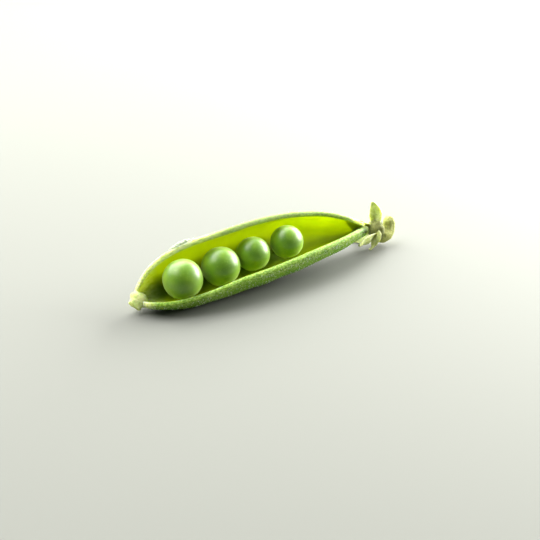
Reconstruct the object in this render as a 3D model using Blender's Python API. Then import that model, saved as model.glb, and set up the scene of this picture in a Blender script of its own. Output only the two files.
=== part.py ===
"""Garden pea pod, split open along one seam, with four peas, its calyx and a stub of stalk.

It lies on the outside of its near valve, with the open side facing -Y and up. X runs from the
pod's tip (-X) to its stalk (+X). The origin is on the flat spot that the pod rests on.
Dimensions are in millimetres, and become metres where points are placed.
"""

import math

import bmesh
import bpy
from mathutils import Matrix, Vector

MM = 0.001

# The pod as a whole
POD_LENGTH = 74.0
ROLL_DEG = 47.0  # how far the open side is lifted from facing straight sideways
PITCH_DEG = 1.7  # the stalk end is a little higher, since the calyx stands on its sepals
KEEL_LIFT = 1.80  # height of the closed seam's line above the floor, over the flat spot
REST_X = -24.0  # where along the pod the flat spot's middle is, from the pod's middle
REST_FORWARD = 5.0  # how far in front of the closed seam the flat spot is
SIDE_BOW = 1.1  # the pod's middle stands back from its two ends by this much
KEEL_BOW = 1.2  # and the closed seam sags below its two ends by this much

# One valve, which is an arc from the closed seam to its open rim
VALVE_DEPTH = 13.4  # closed seam to rim, straight across, at the deepest place
TIP_TAPER = 0.42  # the tip end is blunt
STALK_TAPER = 0.58  # and the stalk end is slimmer
WALL = 1.1
RIM = 1.5  # the wall is thicker along the rim, where the seam's strand is
RIM_FROM, RIM_BLEND = 0.84, 0.12  # shares of the way up a valve over which it thickens
RIM_ROUND = 0.8  # how far the rim's edge bulges, against half its thickness
KEEL_RIDGE = 0.25  # the closed seam stands out by this much
RIDGE_REACH = 0.10  # over this share of a valve
SLIM_DEPTH, SLIM_POWER = 7.0, 0.35  # the wall thins where the valve is shallower than this
RIM_SLIT = 0.2  # least space between the rims, at the two ends
SEED_BUMP = 0.35  # each pea presses the valves out by this much
SEED_BUMP_REACH = 4.4
VALVE_STEPS = 9
SECTIONS = 38
END_EASE = 0.55  # how much closer together the sections stand at the two ends

# How the valves stand open, at places along the pod given as shares of its length
PLACES = (0.0, 0.07, 0.18, 0.34, 0.50, 0.66, 0.82, 0.93, 1.0)
NEAR_OPEN_DEG = (35.0, 39.0, 37.0, 31.0, 29.0, 25.5, 20.5, 12.0, 4.0)
FAR_OPEN_DEG = (31.0, 39.0, 37.0, 31.0, 33.0, 35.0, 32.0, 16.0, 4.0)
NEAR_BULGE_DEG = (45.0, 50.0, 56.0, 58.5, 59.0, 60.0, 62.0, 60.0, 55.0)
FAR_BULGE_DEG = (45.0, 50.0, 55.0, 56.0, 56.0, 56.0, 56.0, 55.0, 52.0)

# Peas: place along the pod, diameter, and how far towards the near valve each one sits
PEAS = ((0.160, 10.4, 0.4), (0.318, 10.2, 0.3), (0.458, 9.1, -0.3), (0.607, 8.9, -0.9))
PEA_HEIGHT = 6.9  # from the closed seam to a pea's middle
PEA_FLAT, PEA_SQUARE = 0.035, 0.018  # pressed flat towards its neighbours, and towards the walls
FUNICLE_RADIUS = 0.55  # the short stalk that a pea grows on
FUNICLE_FLARE = 1.6  # it is wider where it leaves the closed seam
TOUCH_GAP = 0.3

# Ends of the pod
FIRST_PLACE = 0.010
LAST_PLACE = 0.972
BEAK_HEIGHT = 2.9
BEAK_AXIS = (-1.9, -0.7, -1.3)  # the withered beak bends forwards and down
BEAK_RINGS = (  # distance out from the tip, half its width across the pod, half its depth
    (-1.5, 1.0, 1.2),
    (-0.6, 1.45, 1.65),
    (0.3, 1.55, 1.6),
    (1.0, 1.35, 1.25),
    (1.7, 1.75, 1.35),
    (2.2, 1.8, 1.3),
    (2.5, 1.35, 0.9),
)
BEAK_LOBES = 0.14
NECK_SIZE = (6.0, 2.8, 3.2)
NECK_X = 34.4
NECK_HEIGHT = 2.1

# Calyx: a small cup with five sepals round the end of the stalk
CUP_X = 39.7
CUP_ACROSS = 0.9
CUP_HEIGHT = 1.9
CUP_SIZE = (2.0, 3.1)  # half its length, and its radius
SEPAL_THICK = 0.62
SEPAL_GAP = 0.35  # between a sepal and the valve that it lies on

# Pedicel: the stub of stalk, as points from the cup's middle (along, back, up) with a radius
PEDICEL = (
    (0.3, -0.3, -0.6, 1.7),
    (1.4, -0.8, -1.5, 2.2),
    (2.6, -1.0, -1.4, 2.1),
    (3.55, -0.9, -0.6, 1.85),
    (4.1, -0.6, 0.6, 1.7),
    (4.2, -0.4, 1.8, 1.65),
    (4.0, -0.3, 2.8, 1.4),
    (3.75, -0.2, 3.45, 0.75),
)

# Sepals: the way each one leaves the cup and the way its tip points (degrees round from straight
# up, towards the viewer), three points of its line as (towards the tip end, out from the cup's
# axis), its width, its fold and its twist, and whether it lies on a valve
SEPALS = {
    "upright": ((350, 350), ((0.2, 1.2), (-0.7, 5.0), (1.0, 8.6)), 3.6, 16, 50, False),
    "front": ((90, 158), ((0.6, 1.4), (3.4, 4.2), (3.4, 5.2)), 3.2, 14, -120, False),
    "near_side": ((120, 98), ((0.6, 1.4), (4.0, 3.0), (9.6, 3.8)), 3.2, 6, 0, True),
    "far_side": ((300, 330), ((0.6, 1.4), (4.0, 3.0), (9.4, 4.0)), 2.7, 6, 0, True),
    "back": ((226, 218), ((0.3, 1.4), (2.6, 3.6), (5.0, 7.0)), 2.6, 16, 0, False),
}

COLOURS = {
    "pod_skin": ((0.24, 0.42, 0.07), 0.55),
    "pea_skin": ((0.34, 0.56, 0.10), 0.35),
    "dry_calyx": ((0.42, 0.46, 0.22), 0.8),
}


def clear_scene():
    for obj in list(bpy.data.objects):
        bpy.data.objects.remove(obj, do_unlink=True)


def material(name):
    colour, roughness = COLOURS[name]
    made = bpy.data.materials.new(name)
    made.use_nodes = True
    shader = made.node_tree.nodes["Principled BSDF"]
    shader.inputs["Base Color"].default_value = (*colour, 1.0)
    shader.inputs["Roughness"].default_value = roughness
    made.diffuse_color = (*colour, 1.0)
    return made


def object_from(bm, name, finish=None):
    """A linked object holding the bmesh, smooth but for its sharp edges."""
    mesh = bpy.data.meshes.new(name)
    bm.to_mesh(mesh)
    bm.free()
    mesh.shade_smooth()
    mesh.set_sharp_from_angle(angle=math.radians(50))
    if finish:
        mesh.materials.append(finish)
    obj = bpy.data.objects.new(name, mesh)
    bpy.context.scene.collection.objects.link(obj)
    return obj


def join(body, others):
    """Fuses the other objects into body with one Boolean union, then removes them."""
    group = bpy.data.collections.new(body.name + "_added")
    bpy.context.scene.collection.children.link(group)
    for other in others:
        bpy.context.scene.collection.objects.unlink(other)
        group.objects.link(other)
    union = body.modifiers.new("union", "BOOLEAN")
    union.operation = "UNION"
    union.operand_type = "COLLECTION"
    union.collection = group
    union.solver = "EXACT"
    apply_modifiers(body)
    for other in others:
        bpy.data.objects.remove(other, do_unlink=True)
    bpy.data.collections.remove(group)


def cut_at_floor(body):
    """Takes off what would reach below the floor, which leaves the flat spot that the pod rests on."""
    bm = bmesh.new()
    bmesh.ops.create_cube(bm, size=0.2)
    bmesh.ops.translate(bm, verts=bm.verts, vec=(0.0, 0.0, -0.1))
    floor = object_from(bm, "floor_cutter")
    cut = body.modifiers.new("floor", "BOOLEAN")
    cut.operation = "DIFFERENCE"
    cut.object = floor
    cut.solver = "EXACT"
    apply_modifiers(body)
    bpy.data.objects.remove(floor, do_unlink=True)


def apply_modifiers(obj):
    """Keeps the object's evaluated mesh in place of its modifiers."""
    bpy.context.view_layer.update()
    graph = bpy.context.evaluated_depsgraph_get()
    finished = bpy.data.meshes.new_from_object(obj.evaluated_get(graph))
    obj.modifiers.clear()
    obj.data = finished


def through(values, place):
    """A smooth curve through the values that belong to PLACES, read at one place."""
    last = len(PLACES) - 1
    i = max(k for k in range(last) if k == 0 or PLACES[k] < place)
    width = PLACES[i + 1] - PLACES[i]

    def slope(k):
        before, after = max(k - 1, 0), min(k + 1, last)
        return (values[after] - values[before]) / (PLACES[after] - PLACES[before])

    s = (place - PLACES[i]) / width
    start = (2 * s**3 - 3 * s**2 + 1) * values[i] + (s**3 - 2 * s**2 + s) * width * slope(i)
    end = (3 * s**2 - 2 * s**3) * values[i + 1] + (s**3 - s**2) * width * slope(i + 1)
    return start + end


def smooth_step(x):
    x = min(max(x, 0.0), 1.0)
    return x * x * (3 - 2 * x)


def depth_at(place):
    """Closed seam to rim, straight across, at a place along the pod."""
    deepest = TIP_TAPER / (TIP_TAPER + STALK_TAPER)
    tip = (place / deepest) ** TIP_TAPER
    stalk = ((1 - place) / (1 - deepest)) ** STALK_TAPER
    return VALVE_DEPTH * tip * stalk


def along(place):
    return POD_LENGTH * (place - 0.5)


def keel_at(place):
    """The closed seam's offset towards the near side, and its height, at a place along the pod."""
    middle = math.sin(math.pi * place)
    return -SIDE_BOW * middle, KEEL_BOW * (1 - middle)


def in_world(x, across, height):
    """A point given along the pod, across it towards the near valve, and up from the closed seam."""
    roll, pitch = math.radians(ROLL_DEG), math.radians(PITCH_DEG)
    forward = height * math.cos(roll) + across * math.sin(roll)
    up = height * math.sin(roll) - across * math.cos(roll)
    ahead = (x - REST_X) * math.cos(pitch) - up * math.sin(pitch)
    raised = (x - REST_X) * math.sin(pitch) + up * math.cos(pitch)
    return Vector((ahead, REST_FORWARD - forward, raised + KEEL_LIFT)) * MM


def seed_bump(place, share):
    """How far the valve is pressed out by the peas, at a place and a share of the way to the rim."""
    x = along(place)
    nearness = sum(
        math.exp(-(((x - along(pea)) / SEED_BUMP_REACH) ** 2)) for pea, _, _ in PEAS
    )
    return SEED_BUMP * nearness * math.sin(math.pi * share) ** 2


def half_walls(place, share):
    """Half the wall inside and outside its middle, thicker at the rim and at the closed seam."""
    slim = min(1.0, (depth_at(place) / SLIM_DEPTH) ** SLIM_POWER)
    rim = (RIM - WALL) / 2 * smooth_step((share - RIM_FROM) / RIM_BLEND)
    ridge = KEEL_RIDGE * smooth_step(1 - share / RIDGE_REACH)
    half = (WALL / 2 + rim) * slim
    return half, half + ridge * slim


def valve_sides(place, side):
    """Inner and outer points of one valve, from the closed seam to the rim. side is 1 near, -1 far."""
    opening = math.radians(through(NEAR_OPEN_DEG if side > 0 else FAR_OPEN_DEG, place))
    bulge = math.radians(through(NEAR_BULGE_DEG if side > 0 else FAR_BULGE_DEG, place))
    depth = depth_at(place)
    least = math.asin(min(0.95, (RIM / 2 + RIM_SLIT) / depth))
    opening = max(opening, least)
    radius = depth / (2 * math.sin(bulge))
    across0, height0 = keel_at(place)
    inner, outer = [], []
    for step in range(VALVE_STEPS + 1):
        share = step / VALVE_STEPS
        start = opening + bulge
        lean = start - 2 * bulge * share
        swell = seed_bump(place, share)
        out = Vector((math.cos(lean), -math.sin(lean)))
        if step == 0:
            out = Vector((0.0, -1.0))
        point = Vector((math.cos(lean) - math.cos(start), math.sin(start) - math.sin(lean))) * radius
        half_in, half_out = half_walls(place, share)
        for points, offset in ((inner, swell - half_in), (outer, swell + half_out)):
            moved = point + out * offset
            points.append((across0 + side * moved.x, height0 + moved.y))
    return inner, outer


def rim_cap(inner_end, outer_end):
    """The rounded edge from the outer end of a valve's wall to its inner end."""
    a, b = Vector(outer_end), Vector(inner_end)
    middle, spoke = (a + b) / 2, (a - b) / 2
    ahead = Vector((-spoke.y, spoke.x))
    if ahead.y < 0:
        ahead.negate()
    turns = (math.radians(50), math.radians(90), math.radians(130))
    return [tuple(middle + spoke * math.cos(t) + ahead * math.sin(t) * RIM_ROUND) for t in turns]


def pod_section(place):
    """The wall's closed outline across the pod: round the outside, over a rim, and back inside."""
    near_in, near_out = valve_sides(place, 1)
    far_in, far_out = valve_sides(place, -1)
    outline = near_out[::-1] + far_out[1:]
    outline += rim_cap(far_in[-1], far_out[-1])
    outline += far_in[::-1] + near_in[1:]
    outline += rim_cap(near_in[-1], near_out[-1])[::-1]
    x = along(place)
    return [in_world(x, across, height) for across, height in outline]


def loft(sections):
    """A closed solid through outlines that have the same number of points."""
    bm = bmesh.new()
    face = bm.faces.new([bm.verts.new(point) for point in sections[0]])
    for i, section in enumerate(sections[1:]):
        grown = bmesh.ops.extrude_face_region(bm, geom=[face])
        if i > 0:
            bmesh.ops.delete(bm, geom=[face], context="FACES_ONLY")
        face = next(item for item in grown["geom"] if isinstance(item, bmesh.types.BMFace))
        for vert, point in zip(face.verts, section):
            vert.co = point
    bmesh.ops.recalc_face_normals(bm, faces=bm.faces)
    return bm


def pod_places():
    """Places along the pod for the loft, closer together at its two ends."""
    for step in range(SECTIONS + 1):
        even = step / SECTIONS
        eased = even - math.sin(2 * math.pi * even) / (2 * math.pi) * END_EASE
        yield FIRST_PLACE + (LAST_PLACE - FIRST_PLACE) * eased


def pod_turn():
    """Turns a shape made upright, seam down, to the way the pod lies."""
    pitch = Matrix.Rotation(math.radians(-PITCH_DEG), 4, "Y")
    return pitch @ Matrix.Rotation(math.radians(ROLL_DEG - 90), 4, "X")


def ring(middle, axis, width_way, half_width, half_depth, sides=14, lobes=0.0):
    """Points of an oval round an axis; lobes pinches it half way along its longer side."""
    axis = axis.normalized()
    wide = (width_way - axis * width_way.dot(axis)).normalized()
    deep = axis.cross(wide)
    points = []
    for i in range(sides):
        turn = 2 * math.pi * i / sides
        pinch = 1 - lobes * math.sin(turn) ** 4
        offset = wide * half_width * math.cos(turn) + deep * half_depth * math.sin(turn) * pinch
        points.append((middle + offset) * MM)
    return points


def make_beak():
    """The blunt withered beak at the tip: a short bent stub that flares and ends in two lobes."""
    tip = in_world(along(FIRST_PLACE), 0.0, BEAK_HEIGHT) / MM
    axis = Vector(BEAK_AXIS).normalized()
    across = in_world(0.0, 1.0, 0.0) / MM - in_world(0.0, 0.0, 0.0) / MM
    last = len(BEAK_RINGS) - 1
    rings = []
    for i, (distance, half_width, half_depth) in enumerate(BEAK_RINGS):
        lobes = BEAK_LOBES * max(0, i - last + 3)
        rings.append(ring(tip + axis * distance, axis, across, half_width, half_depth, lobes=lobes))
    return object_from(loft(rings), "beak")


def blob(name, size, x, across, height, rings=8, sides=12):
    """A rounded lump of that size along the pod, across it and deep."""
    bm = bmesh.new()
    bmesh.ops.create_uvsphere(bm, u_segments=sides, v_segments=rings, radius=0.5 * MM)
    bmesh.ops.rotate(bm, verts=bm.verts, matrix=Matrix.Rotation(math.pi / 2, 3, "Y"))
    bmesh.ops.scale(bm, verts=bm.verts, vec=size)
    bmesh.ops.transform(bm, verts=bm.verts, matrix=pod_turn())
    bmesh.ops.translate(bm, verts=bm.verts, vec=in_world(x, across, height))
    return object_from(bm, name)


def funicle(name, place, diameter, across):
    """The short stalk from the closed seam up to just below a pea."""
    keel_across, keel_height = keel_at(place)
    bottom = keel_height
    top = keel_height + PEA_HEIGHT - diameter / 2 - TOUCH_GAP
    bm = bmesh.new()
    bmesh.ops.create_cone(
        bm,
        cap_ends=True,
        segments=8,
        radius1=FUNICLE_RADIUS * FUNICLE_FLARE * MM,
        radius2=FUNICLE_RADIUS * MM,
        depth=(top - bottom) * MM,
    )
    bmesh.ops.transform(bm, verts=bm.verts, matrix=pod_turn())
    middle = in_world(along(place), keel_across + across, (top + bottom) / 2)
    bmesh.ops.translate(bm, verts=bm.verts, vec=middle)
    return object_from(bm, name)


def make_pod_shell():
    shell = object_from(loft([pod_section(place) for place in pod_places()]), "pod_shell")
    ends = [make_beak(), blob("neck", NECK_SIZE, NECK_X, 0.0, NECK_HEIGHT, rings=10)]
    stalks = [
        funicle(f"funicle_{i}", place, diameter, across)
        for i, (place, diameter, across) in enumerate(PEAS, 1)
    ]
    join(shell, ends + stalks)
    cut_at_floor(shell)
    shell.data.materials.append(material("pod_skin"))
    return shell


def pea_shape(point, radius):
    """A pea is a ball, a little flattened where its neighbours pressed it and square in outline."""
    direction = point.normalized()
    flat = 1 - PEA_FLAT * abs(direction.x) ** 4
    square = 1 + PEA_SQUARE * (1 - 2 * (direction.y**4 + direction.z**4))
    return direction * radius * flat * square


def make_pea(number, place, diameter, across, finish):
    keel_across, keel_height = keel_at(place)
    bm = bmesh.new()
    bmesh.ops.create_uvsphere(bm, u_segments=20, v_segments=13, radius=diameter / 2 * MM)
    for vert in bm.verts:
        vert.co = pea_shape(vert.co, diameter / 2 * MM)
    bmesh.ops.transform(bm, verts=bm.verts, matrix=pod_turn())
    middle = in_world(along(place), keel_across + across, keel_height + PEA_HEIGHT)
    bmesh.ops.translate(bm, verts=bm.verts, vec=middle)
    return object_from(bm, f"pea_{number}", finish)


def cup_middle():
    return in_world(CUP_X, CUP_ACROSS, CUP_HEIGHT)


def valve_reach(x, out, sideways, half_width):
    """How far the pod stands out from the cup's axis that way, over a blade's width, at world x."""
    reach = 0.0
    middle = cup_middle() / MM
    for section in (pod_section(place) for place in pod_places() if place > 0.6):
        points = [point / MM - middle for point in section]
        if abs(points[0].x + middle.x - x) < 1.6:
            near = [p.dot(out) for p in points if abs(p.dot(sideways)) < half_width + 0.4]
            reach = max([reach, *near])
    return reach


def sepal_point(row, s):
    """A point of the sepal's middle line from the cup's middle, and the two ways square to it there."""
    (leaves_deg, ends_deg), path, width, _, _, on_valve = row
    turn = math.radians(leaves_deg + (ends_deg - leaves_deg) * smooth_step(s))
    out = Vector((0.0, -math.sin(turn), math.cos(turn)))
    sideways = Vector((0.0, -math.cos(turn), -math.sin(turn)))
    forward, away = (
        path[0][i] * (1 - s) ** 2 + path[1][i] * 2 * s * (1 - s) + path[2][i] * s**2 for i in (0, 1)
    )
    if on_valve:
        x = cup_middle().x / MM - forward
        least = valve_reach(x, out, sideways, width / 2) + SEPAL_GAP + SEPAL_THICK / 2
        away = max(away, least)
    return out * away - Vector((forward, 0.0, 0.0)), sideways


def sepal_frame(row, s):
    """A point of the sepal's middle line, with the directions across the blade and out of its face."""
    point, sideways = sepal_point(row, s)
    tangent = (sepal_point(row, min(s + 0.05, 1.0))[0] - sepal_point(row, max(s - 0.05, 0.0))[0])
    tangent.normalize()
    twist = math.radians(row[4]) * min(1.0, 2 * s)
    sideways = Matrix.Rotation(twist, 3, tangent) @ sideways
    return point, sideways, sideways.cross(tangent).normalized()


def make_sepal(name, row):
    """One blade: broad below its middle, pointed, and folded a little along its midrib."""
    steps, half_steps = 10, 2
    width, fold = row[2], math.radians(row[3])
    bm = bmesh.new()
    bmesh.ops.create_grid(bm, x_segments=steps, y_segments=2 * half_steps, size=0.5)
    frames = {}
    for vert in bm.verts:
        s = round(vert.co.x + 0.5, 4)
        side = vert.co.y * 2
        if s not in frames:
            frames[s] = sepal_frame(row, s)
        point, across, face = frames[s]
        outline = math.sin(math.pi * (0.20 + 0.73 * s)) * width / 2
        rise = abs(side) * outline * math.tan(fold) * (1 - s**3)
        wave = 0.15 * math.sin(7 * s + 2 * side) * abs(side) * math.sin(math.pi * s)
        vert.co = cup_middle() + (point + across * side * outline + face * (rise + wave)) * MM
    bmesh.ops.triangulate(bm, faces=bm.faces)
    blade = object_from(bm, name)
    thicken = blade.modifiers.new("thickness", "SOLIDIFY")
    thicken.thickness = SEPAL_THICK * MM
    thicken.offset = 0.0
    apply_modifiers(blade)
    return blade


def make_pedicel():
    """The bent stub of stalk, thickest next to the calyx, with a snapped end."""
    points = [cup_middle() / MM + Vector(row[:3]) for row in PEDICEL]
    rings = []
    for i, (*_, radius) in enumerate(PEDICEL):
        before, after = points[max(i - 1, 0)], points[min(i + 1, len(points) - 1)]
        rings.append(ring(points[i], after - before, Vector((0, 1, 0)), radius, radius, sides=12))
    return object_from(loft(rings), "pedicel")


def make_stalk_calyx():
    half_length, radius = CUP_SIZE
    bm = bmesh.new()
    bmesh.ops.create_uvsphere(bm, u_segments=16, v_segments=10, radius=MM)
    bmesh.ops.rotate(bm, verts=bm.verts, matrix=Matrix.Rotation(math.pi / 2, 3, "Y"))
    bmesh.ops.scale(bm, verts=bm.verts, vec=(half_length, radius, radius))
    bmesh.ops.translate(bm, verts=bm.verts, vec=cup_middle())
    cup = object_from(bm, "stalk_calyx")
    blades = [make_sepal("sepal_" + name, row) for name, row in SEPALS.items()]
    join(cup, blades + [make_pedicel()])
    cut_at_floor(cup)
    cup.data.materials.append(material("dry_calyx"))
    return cup


def main():
    clear_scene()
    make_pod_shell()
    pea_finish = material("pea_skin")
    for number, (place, diameter, across) in enumerate(PEAS, 1):
        make_pea(number, place, diameter, across, pea_finish)
    make_stalk_calyx()


main()
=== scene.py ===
# %% [markdown]
# A garden pea pod, split open along one seam so that its four peas show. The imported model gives
# the pod's shape at real size. This script gives it its surfaces: the thin glowing wall, the pale
# swollen rims, the waxy peas, the withered calyx and the fine dew on the outside.
# Lengths below are in millimetres, and are turned into metres where a point is placed.

import math
import random

import bmesh
import bpy
from mathutils import Matrix, Vector, noise


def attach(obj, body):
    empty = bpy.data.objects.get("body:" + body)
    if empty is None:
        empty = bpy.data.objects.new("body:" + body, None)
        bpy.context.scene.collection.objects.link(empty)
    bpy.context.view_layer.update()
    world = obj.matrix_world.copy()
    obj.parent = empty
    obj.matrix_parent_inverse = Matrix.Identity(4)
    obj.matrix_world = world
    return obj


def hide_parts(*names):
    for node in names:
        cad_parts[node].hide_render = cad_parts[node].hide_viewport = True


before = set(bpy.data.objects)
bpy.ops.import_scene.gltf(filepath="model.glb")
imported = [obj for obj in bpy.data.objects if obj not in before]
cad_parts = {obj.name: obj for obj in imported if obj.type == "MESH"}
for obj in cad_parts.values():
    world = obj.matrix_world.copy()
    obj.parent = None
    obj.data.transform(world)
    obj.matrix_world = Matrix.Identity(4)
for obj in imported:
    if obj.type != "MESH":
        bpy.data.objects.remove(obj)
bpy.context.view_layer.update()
MM = 0.001
X_WAY, Y_WAY = Vector((1, 0, 0)), Vector((0, 1, 0))
print("nodes:", sorted(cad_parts))

# %% [markdown]
# The pod's driving sizes. A pod grows from one folded leaf: its midrib and its two edges make the
# two seams. One seam has split, and the two valves lean apart from the seam that is still closed.
# Each cross-section is two arcs that start at the closed seam, so a few rows of angles along the
# pod are all that its form needs.

# %% Sizes of the pod
POD_LENGTH = 74.0
ROLL_DEG, PITCH_DEG = 47.0, 1.7
KEEL_LIFT, REST_X, REST_FORWARD = 1.80, -24.0, 5.0
SIDE_BOW, KEEL_BOW = 1.1, 1.2
VALVE_DEPTH, TIP_TAPER, STALK_TAPER = 13.4, 0.42, 0.58
WALL, RIM, KEEL_RIDGE, RIM_SLIT = 1.1, 1.5, 0.25, 0.2
SEED_BUMP, SEED_BUMP_REACH = 0.35, 4.4
PLACES = (0.0, 0.07, 0.18, 0.34, 0.50, 0.66, 0.82, 0.93, 1.0)
NEAR_OPEN_DEG = (35.0, 39.0, 37.0, 31.0, 29.0, 25.5, 20.5, 12.0, 4.0)
FAR_OPEN_DEG = (31.0, 39.0, 37.0, 31.0, 33.0, 35.0, 32.0, 16.0, 4.0)
NEAR_BULGE_DEG = (45.0, 50.0, 56.0, 58.5, 59.0, 60.0, 62.0, 60.0, 55.0)
FAR_BULGE_DEG = (45.0, 50.0, 55.0, 56.0, 56.0, 56.0, 56.0, 55.0, 52.0)
PEAS = ((0.160, 10.4, 0.4), (0.318, 10.2, 0.3), (0.458, 9.1, -0.3), (0.607, 8.9, -0.9))
PEA_HEIGHT = 6.9
FIRST_PLACE, LAST_PLACE = 0.010, 0.972


def smooth_step(x):
    x = min(max(x, 0.0), 1.0)
    return x * x * (3 - 2 * x)


def through(values, place):
    """A smooth curve through the values that belong to PLACES, read at one place."""
    last = len(PLACES) - 1
    i = max(k for k in range(last) if k == 0 or PLACES[k] < place)
    width = PLACES[i + 1] - PLACES[i]

    def slope(k):
        before, after = max(k - 1, 0), min(k + 1, last)
        return (values[after] - values[before]) / (PLACES[after] - PLACES[before])

    s = (place - PLACES[i]) / width
    start = (2 * s**3 - 3 * s**2 + 1) * values[i] + (s**3 - 2 * s**2 + s) * width * slope(i)
    end = (3 * s**2 - 2 * s**3) * values[i + 1] + (s**3 - s**2) * width * slope(i + 1)
    return start + end


def depth_at(place):
    deepest = TIP_TAPER / (TIP_TAPER + STALK_TAPER)
    tip = (place / deepest) ** TIP_TAPER
    return VALVE_DEPTH * tip * ((1 - place) / (1 - deepest)) ** STALK_TAPER


def along(place):
    return POD_LENGTH * (place - 0.5)


def keel_at(place):
    middle = math.sin(math.pi * place)
    return -SIDE_BOW * middle, KEEL_BOW * (1 - middle)


print("valves in the middle:", round(depth_at(0.5), 1), "mm deep; peas:", [p[1] for p in PEAS])

# %% [markdown]
# The split pod lies on its side with its opening turned to the viewer. So every point is first
# given in the pod's own directions and then rolled, tilted and lifted onto the floor in one place.

# %% How the pod lies
def in_world(x, across, height):
    """A point given along the pod, across to the near valve, and up from the closed seam."""
    roll, pitch = math.radians(ROLL_DEG), math.radians(PITCH_DEG)
    forward = height * math.cos(roll) + across * math.sin(roll)
    up = height * math.sin(roll) - across * math.cos(roll)
    ahead = (x - REST_X) * math.cos(pitch) - up * math.sin(pitch)
    raised = (x - REST_X) * math.sin(pitch) + up * math.cos(pitch)
    return Vector((ahead, REST_FORWARD - forward, raised + KEEL_LIFT)) * MM


def pod_turn():
    pitch = Matrix.Rotation(math.radians(-PITCH_DEG), 4, "Y")
    return pitch @ Matrix.Rotation(math.radians(ROLL_DEG - 90), 4, "X")


print("closed seam in the middle, in metres:", tuple(in_world(0.0, *keel_at(0.5))))

# %% [markdown]
# Small helpers. A piece is made as a bmesh, kept at the origin, shaded smooth, given one material
# and fastened to the body. What would reach below the floor is pressed flat against it, as the
# pod's weight does to its soft belly. Marks are numbers kept on each vertex, such as how near the
# rim it is, which the materials read to know what grows there.

# %% Making pieces
def piece(bm, name, finish, replaces=()):
    """Turns a bmesh into a piece that rides the body and stands in for the nodes it replaces."""
    mesh = bpy.data.meshes.new(name)
    for vert in bm.verts:
        vert.co.z = max(vert.co.z, 0.0)
    bmesh.ops.recalc_face_normals(bm, faces=bm.faces)
    bm.to_mesh(mesh)
    bm.free()
    mesh.shade_smooth()
    mesh.materials.append(finish)
    obj = bpy.data.objects.new(name, mesh)
    bpy.context.scene.collection.objects.link(obj)
    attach(obj, "root")
    if replaces:
        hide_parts(*replaces)
    print(name, len(mesh.polygons), "faces")
    return obj


def loft(sections, marks=(), values=None):
    """A closed solid through outlines that have the same number of points.

    values holds, for each outline and point, the numbers for the marks.
    """
    bm = bmesh.new()
    layers = [bm.verts.layers.float.new(name) for name in marks]
    face = bm.faces.new([bm.verts.new(point) for point in sections[0]])
    for i, section in enumerate(sections):
        if i > 0:
            grown = bmesh.ops.extrude_face_region(bm, geom=[face])
            if i > 1:
                bmesh.ops.delete(bm, geom=[face], context="FACES_ONLY")
            face = next(item for item in grown["geom"] if isinstance(item, bmesh.types.BMFace))
        for j, (vert, point) in enumerate(zip(face.verts, section)):
            vert.co = point
            for layer, value in zip(layers, values[i][j] if values else ()):
                vert[layer] = value
    return bm


# %% [markdown]
# Colours are written as they are seen, and turned into the linear numbers that light needs.
# One function adds any shader node: its properties, then its sockets as numbers or as links. The
# others make what the finishes below share: blotches, blends, ramps and small relief.

# %% Colours and shader nodes
def linear(hex_colour):
    shares = [int(hex_colour[i : i + 2], 16) / 255 for i in (0, 2, 4)]
    light = [c / 12.92 if c <= 0.04045 else ((c + 0.055) / 1.055) ** 2.4 for c in shares]
    return (*light, 1.0)


def fill(tree, node, sockets):
    """Sets sockets of a node, each to a number or colour, or to a link from another node."""
    for name, value in sockets.items():
        if isinstance(value, bpy.types.NodeSocket):
            tree.links.new(value, node.inputs[name])
        else:
            node.inputs[name].default_value = value


def add(tree, kind, sockets=None, **settings):
    made = tree.nodes.new("ShaderNode" + kind)
    for name, value in settings.items():
        setattr(made, name, value)
    fill(tree, made, sockets or {})
    return made


def new_material(name):
    made = bpy.data.materials.new(name)
    made.use_nodes = True
    shader = made.node_tree.nodes["Principled BSDF"]
    place = add(made.node_tree, "TexCoord").outputs["Object"]
    return made, made.node_tree, shader, place


def ramp(tree, value, start, end, low=0.0, high=1.0, how="LINEAR"):
    """From low at start to high at end, and level beyond them."""
    sockets = {"Value": value, "From Min": start, "From Max": end, "To Min": low, "To Max": high}
    return add(tree, "MapRange", sockets, interpolation_type=how).outputs["Result"]


def speckle(tree, place, size_mm, low, high, detail=2.0, stretch=(1, 1, 1)):
    """Blotches of that size: 0 below low, 1 above high, of noise that runs from 0 to 1."""
    scaled = add(tree, "Mapping", {"Vector": place, "Scale": stretch}).outputs["Vector"]
    grain = add(tree, "TexNoise", {"Vector": scaled, "Scale": 1 / (size_mm * MM), "Detail": detail})
    return ramp(tree, grain.outputs["Fac"], low, high, how="SMOOTHSTEP")


def mixed(tree, amount, first, second):
    return add(tree, "Mix", {0: amount, 6: first, 7: second}, data_type="RGBA").outputs[2]


def calc(tree, operation, *values):
    return add(tree, "Math", dict(enumerate(values)), operation=operation).outputs[0]


def part_of(tree, share, amount):
    return calc(tree, "MULTIPLY", share, amount)


def relief(tree, height, strength, depth_mm):
    """Small bumps as deep as that, as a normal for the shader."""
    sockets = {"Height": height, "Strength": strength, "Distance": depth_mm * MM}
    return add(tree, "Bump", sockets).outputs["Normal"]


def marks_on(tree, names):
    return [add(tree, "Attribute", attribute_name=name).outputs["Fac"] for name in names]


print("middle grey as light:", round(linear("808080")[0], 3))
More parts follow.
